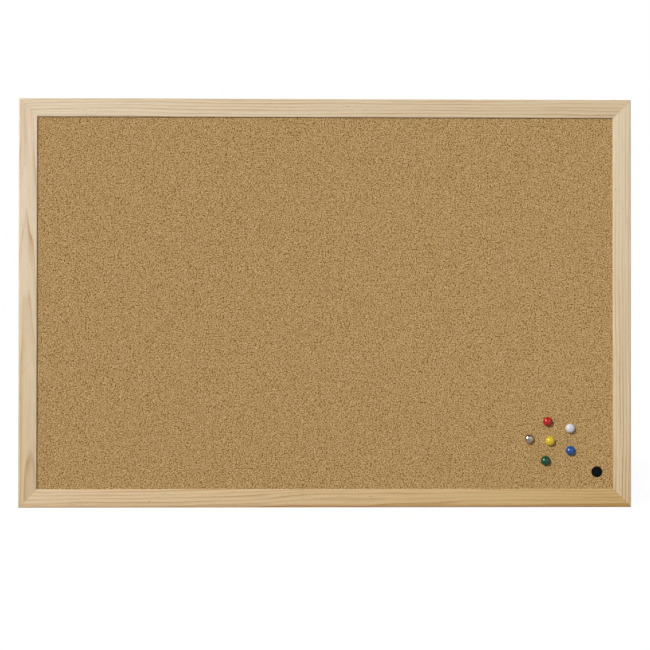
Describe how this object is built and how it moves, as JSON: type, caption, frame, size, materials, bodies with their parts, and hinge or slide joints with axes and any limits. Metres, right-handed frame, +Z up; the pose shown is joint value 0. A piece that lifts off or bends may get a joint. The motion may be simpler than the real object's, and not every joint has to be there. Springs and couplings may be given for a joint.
{
  "type": "cork pin board",
  "caption": "Wall-hung cork pin board in a mitred pine frame, with coloured drawing pins in the cork and hinged wire hangers behind, for pinning up badges and notes.",
  "frame": {"origin": "middle of the top rail's back face, in the plane that lies against the wall", "axes": "+Z up, +X to the right seen from the front, +Y towards the wall, so the cork faces -Y"},
  "size_m": [0.6, 0.0209, 0.4],
  "materials": {
    "pine": "satin",
    "cork": "matte",
    "fibreboard": "matte",
    "hardboard": "satin",
    "zinc_steel": "satin",
    "pin_steel": "polished",
    "red_lacquer": "gloss",
    "white_lacquer": "gloss",
    "nickel_plate": "polished",
    "yellow_lacquer": "gloss",
    "blue_lacquer": "gloss",
    "green_lacquer": "gloss",
    "label_black": "satin"
  },
  "bodies": {
    "board": {"top_rail": "pine", "right_stile": "pine", "bottom_rail": "pine", "left_stile": "pine", "cork_sheet": "cork", "core_board": "fibreboard", "backing_sheet": "hardboard", "cork_label": "label_black", "v_nail_top_left_outer": "zinc_steel", "v_nail_top_left_inner": "zinc_steel", "v_nail_top_right_outer": "zinc_steel", "v_nail_top_right_inner": "zinc_steel", "v_nail_bottom_right_outer": "zinc_steel", "v_nail_bottom_right_inner": "zinc_steel", "v_nail_bottom_left_outer": "zinc_steel", "v_nail_bottom_left_inner": "zinc_steel", "hanger_strap_left": "zinc_steel", "hanger_screw_left": "zinc_steel", "hanger_strap_right": "zinc_steel", "hanger_screw_right": "zinc_steel"},
    "left_ring": {"hanger_ring_left": "zinc_steel"},
    "right_ring": {"hanger_ring_right": "zinc_steel"},
    "red_pin": {"pin_cap_red": "red_lacquer", "pin_spike_red": "pin_steel"},
    "white_pin": {"pin_cap_white": "white_lacquer", "pin_spike_white": "pin_steel"},
    "nickel_pin": {"pin_cap_nickel": "nickel_plate", "pin_spike_nickel": "pin_steel"},
    "yellow_pin": {"pin_cap_yellow": "yellow_lacquer", "pin_spike_yellow": "pin_steel"},
    "blue_pin": {"pin_cap_blue": "blue_lacquer", "pin_spike_blue": "pin_steel"},
    "green_pin": {"pin_cap_green": "green_lacquer", "pin_spike_green": "pin_steel"}
  },
  "joints": [
    {"name": "left_ring_swing", "type": "hinge", "parent": "board", "child": "left_ring", "pos_m": [-0.2913, 0.00195, -0.051], "axis": [-1, 0, 0], "range_deg": [0, 185]},
    {"name": "right_ring_swing", "type": "hinge", "parent": "board", "child": "right_ring", "pos_m": [0.2913, 0.00195, -0.051], "axis": [-1, 0, 0], "range_deg": [0, 185]},
    {"name": "red_pin_pull", "type": "slide", "parent": "board", "child": "red_pin", "axis": [0, -1, 0], "range_m": [0, 0.025]},
    {"name": "white_pin_pull", "type": "slide", "parent": "board", "child": "white_pin", "axis": [0, -1, 0], "range_m": [0, 0.025]},
    {"name": "nickel_pin_pull", "type": "slide", "parent": "board", "child": "nickel_pin", "axis": [0, -1, 0], "range_m": [0, 0.025]},
    {"name": "yellow_pin_pull", "type": "slide", "parent": "board", "child": "yellow_pin", "axis": [0, -1, 0], "range_m": [0, 0.025]},
    {"name": "blue_pin_pull", "type": "slide", "parent": "board", "child": "blue_pin", "axis": [0, -1, 0], "range_m": [0, 0.025]},
    {"name": "green_pin_pull", "type": "slide", "parent": "board", "child": "green_pin", "axis": [0, -1, 0], "range_m": [0, 0.025]}
  ]
}
